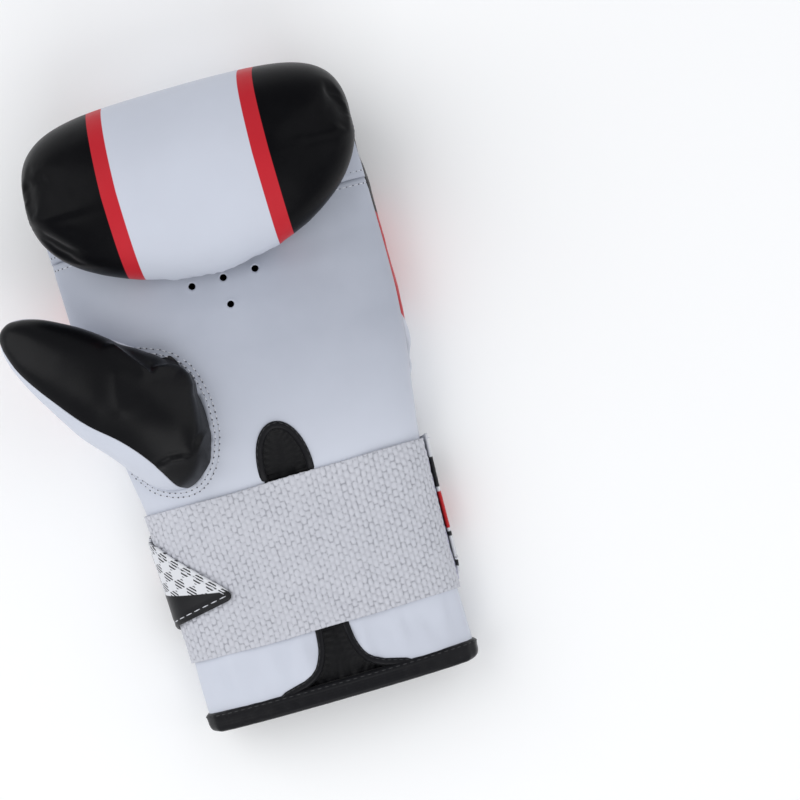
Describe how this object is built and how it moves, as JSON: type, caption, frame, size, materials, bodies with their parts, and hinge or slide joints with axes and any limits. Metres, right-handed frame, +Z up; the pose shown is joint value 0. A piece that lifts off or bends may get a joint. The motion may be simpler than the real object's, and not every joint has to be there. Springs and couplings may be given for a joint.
{
  "type": "bag glove",
  "caption": "Padded left-hand bag mitt with a rolled knuckle pad, thumb sheath, slit palm, bound hem and an elastic wrist strap with a patch.",
  "frame": {"origin": "centre of the flat of the padded back that the glove rests on, palm up", "axes": "+Y from the wrist to the knuckles, +Z up out of the palm side, +X across the hand away from the thumb"},
  "size_m": [0.164, 0.2638, 0.0759],
  "materials": {
    "pad_leather": "smooth coated leather over foam, white with black and red panels, soft gloss",
    "white_leather": "smooth coated leather, cool white, soft gloss",
    "black_leather": "smooth coated leather, black, fine creases",
    "black_fabric": "gathered lining cloth, black, dull",
    "webbing": "knitted elastic webbing, white, staggered knots",
    "loop_pile": "loop pile tape, pale lavender white",
    "printed_patch": "coated patch printed with a plain check, a red stripe and a black field"
  },
  "bodies": {
    "root": {"back_pad": "pad_leather", "palm_panel": "white_leather", "finger_panel": "white_leather", "thumb_face": "black_leather", "thumb_back": "white_leather", "cuff_back": "white_leather", "slit_gusset": "black_fabric", "slit_binding": "black_leather", "hem_binding": "black_leather", "wrist_strap": "webbing", "loop_tape": "loop_pile", "strap_patch": "printed_patch"}
  },
  "joints": []
}
